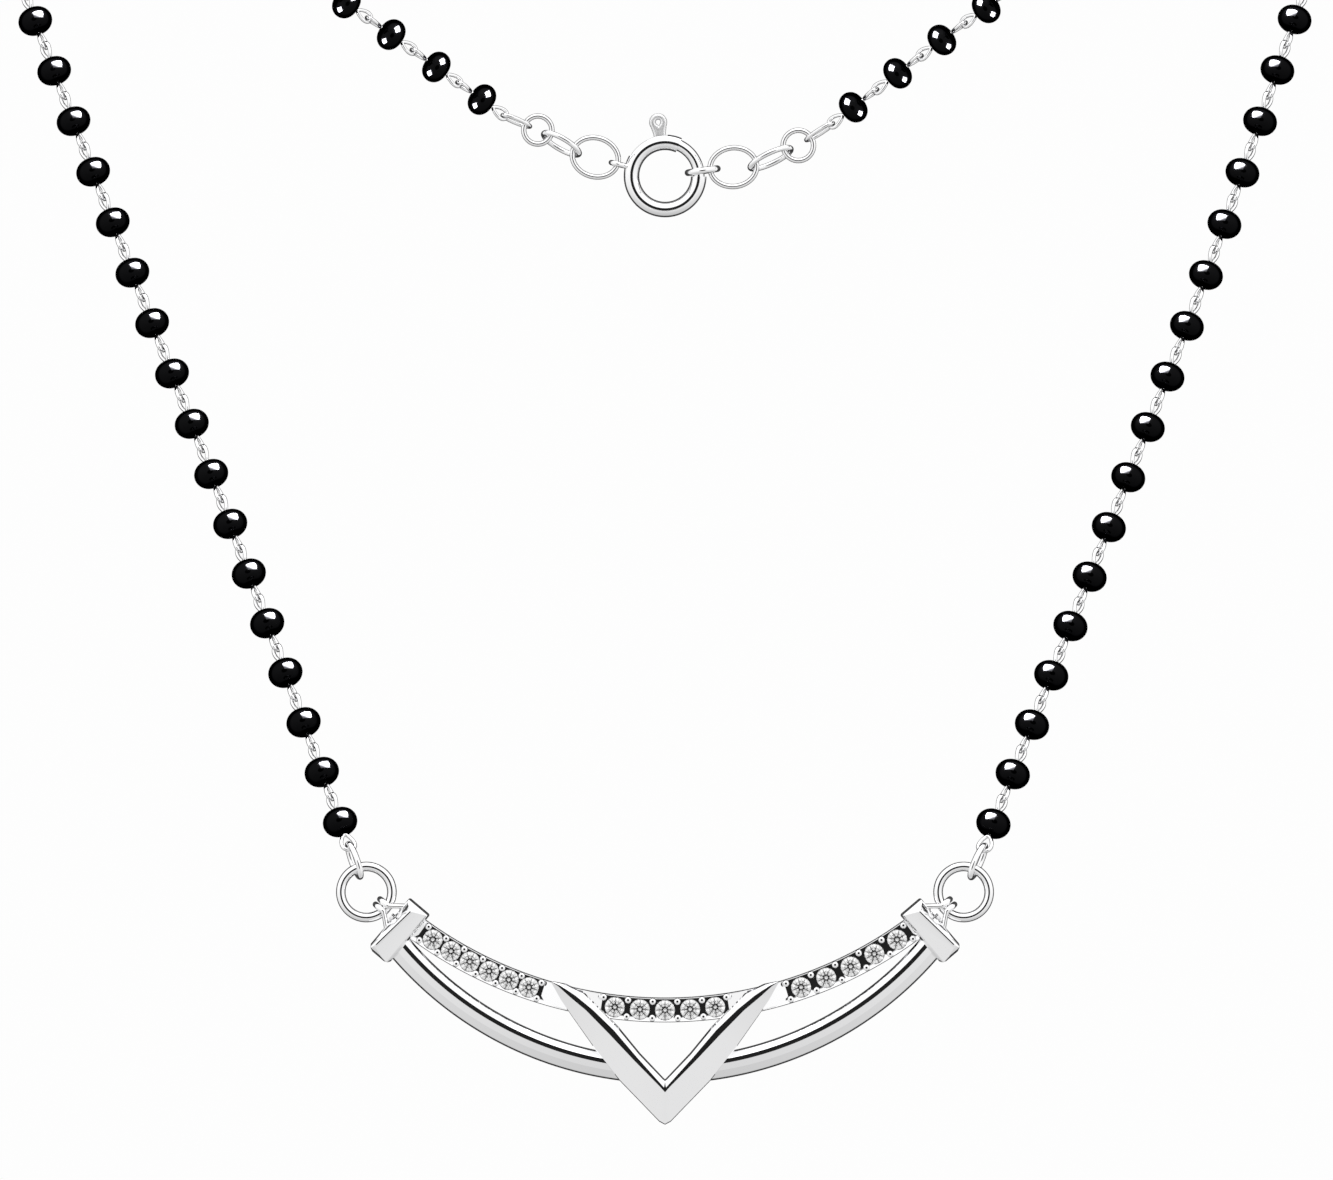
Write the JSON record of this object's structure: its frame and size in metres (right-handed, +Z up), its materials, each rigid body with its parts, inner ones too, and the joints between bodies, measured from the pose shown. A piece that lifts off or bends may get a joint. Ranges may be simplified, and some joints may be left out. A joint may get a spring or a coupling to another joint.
{
  "type": "mangalsutra",
  "caption": "Mangalsutra with round black beads on wire links, a curved stone-set pendant with a V-shaped middle, and a spring ring clasp.",
  "frame": {"origin": "the middle of the neck opening, level with the string over the shoulders", "axes": "+Z up; -Y towards the pendant and the viewer, +Y towards the clasp at the nape; +X to the viewer's right"},
  "size_m": [0.1093, 0.1205, 0.1047],
  "materials": {
    "black_glass": "opaque black, highly polished",
    "wire": "polished white metal wire",
    "polished_metal": "polished white metal",
    "stone": "clear, cut and polished"
  },
  "bodies": {
    "string": {"beads_left": "black_glass", "beads_right": "black_glass", "bead_wires_left": "wire", "bead_wires_right": "wire", "jump_ring_left": "polished_metal", "jump_ring_right": "polished_metal", "hanger_left": "wire", "hanger_right": "wire", "end_link_left": "wire", "end_link_right": "wire", "small_ring_left": "wire", "small_ring_right": "wire", "turned_link_left": "wire", "turned_link_right": "wire", "oval_link_left": "wire", "oval_link_right": "wire", "catch_link": "wire", "clasp_ring": "polished_metal"},
    "pendant": {"pendant_frame": "polished_metal", "stone_1": "stone", "stone_2": "stone", "stone_3": "stone", "stone_4": "stone", "stone_5": "stone", "stone_6": "stone", "stone_7": "stone", "stone_8": "stone", "stone_9": "stone", "stone_10": "stone", "stone_11": "stone", "stone_12": "stone", "stone_13": "stone", "stone_14": "stone", "stone_15": "stone", "stone_16": "stone"},
    "gate": {"clasp_gate": "polished_metal"}
  },
  "joints": [
    {"name": "pendant_swing", "type": "hinge", "parent": "string", "child": "pendant", "pos_m": [0, -0.058, -0.09119], "axis": [1, 0, 0], "range_deg": [-25, 25]},
    {"name": "clasp_gate", "type": "hinge", "parent": "string", "child": "gate", "pos_m": [0, 0.06, -0.0403], "axis": [0, -1, 0], "range_deg": [0, 42], "stiffness_Nm_per_rad": 0.0001, "springref_deg": -28.65}
  ]
}
